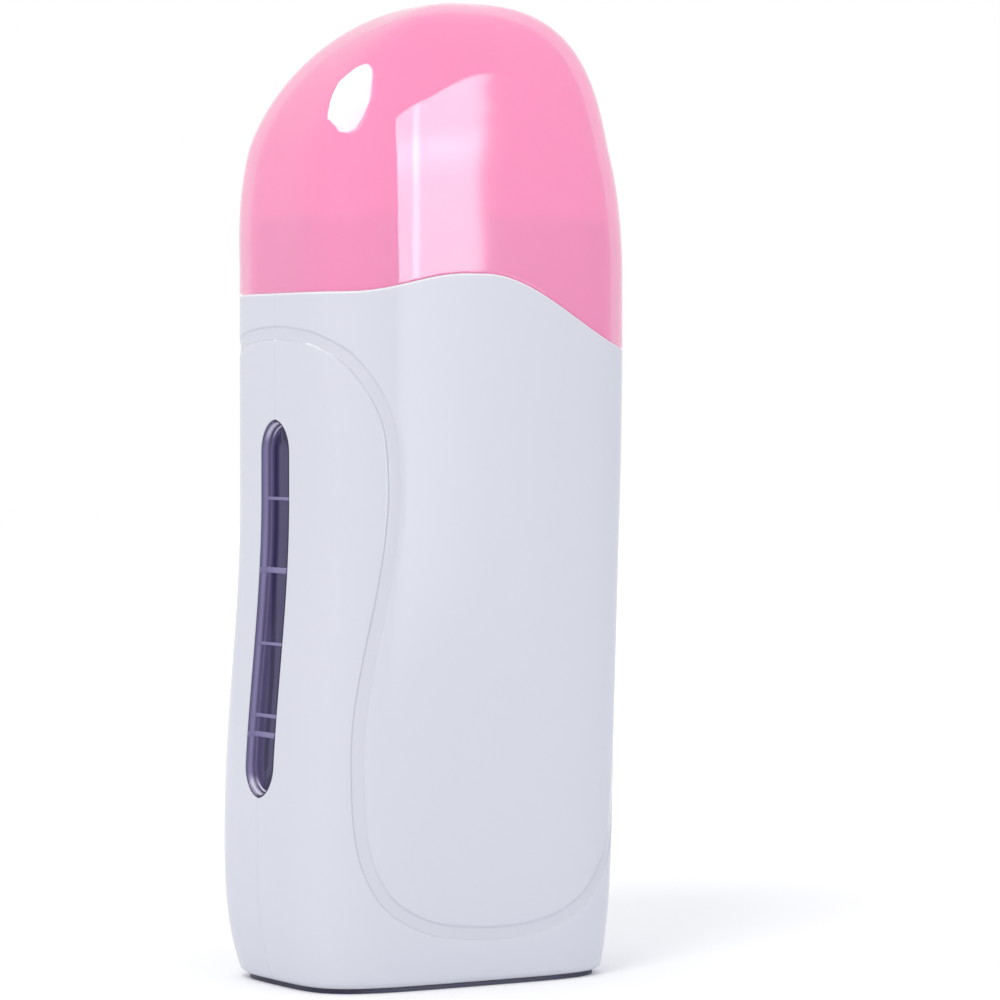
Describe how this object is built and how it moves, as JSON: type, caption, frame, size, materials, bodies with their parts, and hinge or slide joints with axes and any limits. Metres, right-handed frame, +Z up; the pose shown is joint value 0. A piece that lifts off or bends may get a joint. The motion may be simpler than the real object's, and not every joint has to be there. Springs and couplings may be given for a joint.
{
  "type": "roll-on wax heater",
  "caption": "Upright two-shell wax cartridge heater with a heated well, a clear level window and a pull-off domed cap.",
  "frame": {"origin": "middle of the outline, on the standing face under the base cover", "axes": "+Z up; +X across the wide faces, away from the narrow face with the level window; the wide rear face with the inlet looks to +Y"},
  "size_m": [0.0792, 0.054, 0.2045],
  "materials": {
    "shell_plastic": "satin gloss moulded cool white",
    "cap_plastic": "glossy translucent pink",
    "window_clear": "clear polished",
    "collar_plastic": "satin moulded",
    "base_plastic": "matt dark moulded",
    "steel": "zinc plated",
    "well_aluminium": "satin extruded",
    "cradle_plastic": "heat-resistant, matt",
    "heater_case": "film-wrapped",
    "spring_steel": "blued",
    "thermostat_case": "moulded",
    "fuse_body": "lacquered",
    "sleeve_fibre": "glass-fibre sleeving",
    "inlet_plastic": "moulded",
    "pin_brass": "nickel plated",
    "board_laminate": "lacquered laminate",
    "led_red": "clear red",
    "lens_red": "clear red",
    "resistor_body": "lacquered",
    "wire_brown": "silicone insulated",
    "wire_blue": "silicone insulated"
  },
  "bodies": {
    "casing": {"front_shell": "shell_plastic", "rear_shell": "shell_plastic", "neck_collar": "collar_plastic", "level_window": "window_clear", "base_cover": "base_plastic", "base_screws": "steel", "cradle_screws": "steel", "heating_well": "well_aluminium", "well_cradle": "cradle_plastic", "heater_plate_front": "heater_case", "heater_plate_rear": "heater_case", "heater_spring_front": "spring_steel", "heater_spring_rear": "spring_steel", "thermostat": "thermostat_case", "thermostat_spring": "spring_steel", "thermal_fuse": "fuse_body", "fuse_sleeve": "sleeve_fibre", "inlet_housing": "inlet_plastic", "inlet_pins": "pin_brass", "indicator_board": "board_laminate", "indicator_led": "led_red", "indicator_lens": "lens_red", "board_resistor": "resistor_body", "lead_live": "wire_brown", "lead_link": "wire_brown", "lead_heater": "wire_brown", "lead_neutral": "wire_blue", "bridge_live": "wire_brown", "bridge_neutral": "wire_blue", "board_lead_live": "wire_brown", "board_lead_neutral": "wire_blue"},
    "cap": {"cap": "cap_plastic"}
  },
  "joints": [
    {"name": "cap_pull", "type": "slide", "parent": "casing", "child": "cap", "axis": [0, 0, 1], "range_m": [0, 0.06]}
  ]
}
